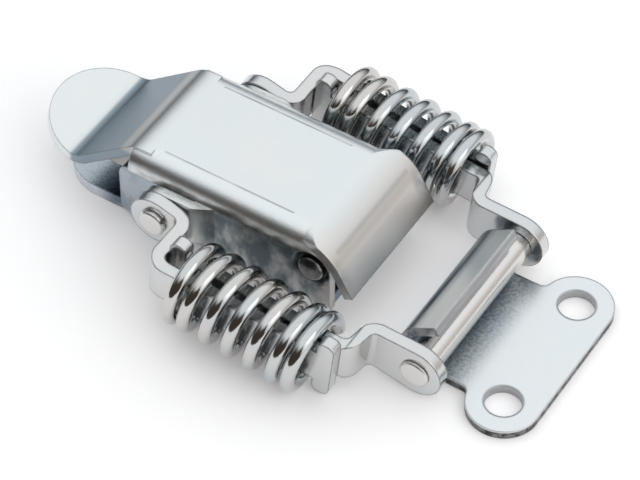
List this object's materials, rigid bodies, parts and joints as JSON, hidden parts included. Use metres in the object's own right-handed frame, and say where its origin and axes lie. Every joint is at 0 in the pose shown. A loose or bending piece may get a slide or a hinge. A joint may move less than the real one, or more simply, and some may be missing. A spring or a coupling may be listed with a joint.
{
  "type": "spring draw latch",
  "caption": "Over-centre draw latch of plated sheet steel, with a folded lever, a round thumb tab, side coil springs and a curled keeper plate.",
  "frame": {"origin": "middle of the two base holes, on the mounting face", "axes": "+X from the thumb tab to the keeper, +Y across the latch, +Z away from the mounting face"},
  "size_m": [0.0893, 0.0552, 0.0169],
  "materials": {
    "plated_sheet": "bright zinc plating, satin",
    "plated_strip": "bright zinc plating, satin",
    "plated_spring": "bright zinc plating, polished",
    "plated_pin": "bright zinc plating, polished"
  },
  "bodies": {
    "base": {"base_channel": "plated_sheet", "lever_pivot_pin": "plated_pin"},
    "lever": {"lever_handle": "plated_sheet", "link_rivet_left": "plated_pin", "link_rivet_right": "plated_pin"},
    "links": {"pull_link_left": "plated_strip", "pull_link_right": "plated_strip", "spring_left": "plated_spring", "spring_right": "plated_spring"},
    "claw": {"claw_link_left": "plated_strip", "claw_link_right": "plated_strip", "cross_pin": "plated_pin"},
    "keeper": {"keeper_plate": "plated_sheet"}
  },
  "joints": [
    {"name": "lever_hinge", "type": "hinge", "parent": "base", "child": "lever", "pos_m": [0.023, 0, 0.0109], "axis": [0, 1, 0], "range_deg": [0, 95]},
    {"name": "link_hinge", "type": "hinge", "parent": "lever", "child": "links", "pos_m": [-0.0016, 0, 0.0098], "axis": [0, 1, 0], "range_deg": [-58.4, 0]},
    {"name": "claw_slide", "type": "slide", "parent": "links", "child": "claw", "axis": [0.9943, 0, -0.107], "range_m": [0, 0.004], "stiffness_N_per_m": 53000, "deforming": ["spring_left", "spring_right"]},
    {"name": "keeper_hinge", "type": "hinge", "parent": "claw", "child": "keeper", "pos_m": [0.043, 0, 0.005], "axis": [0, 1, 0], "range_deg": [-36.7, 0]}
  ],
  "couplings": [
    {"joint": "link_hinge", "follows": "lever_hinge", "ratio": -0.6137},
    {"joint": "keeper_hinge", "follows": "lever_hinge", "ratio": -0.3863}
  ]
}
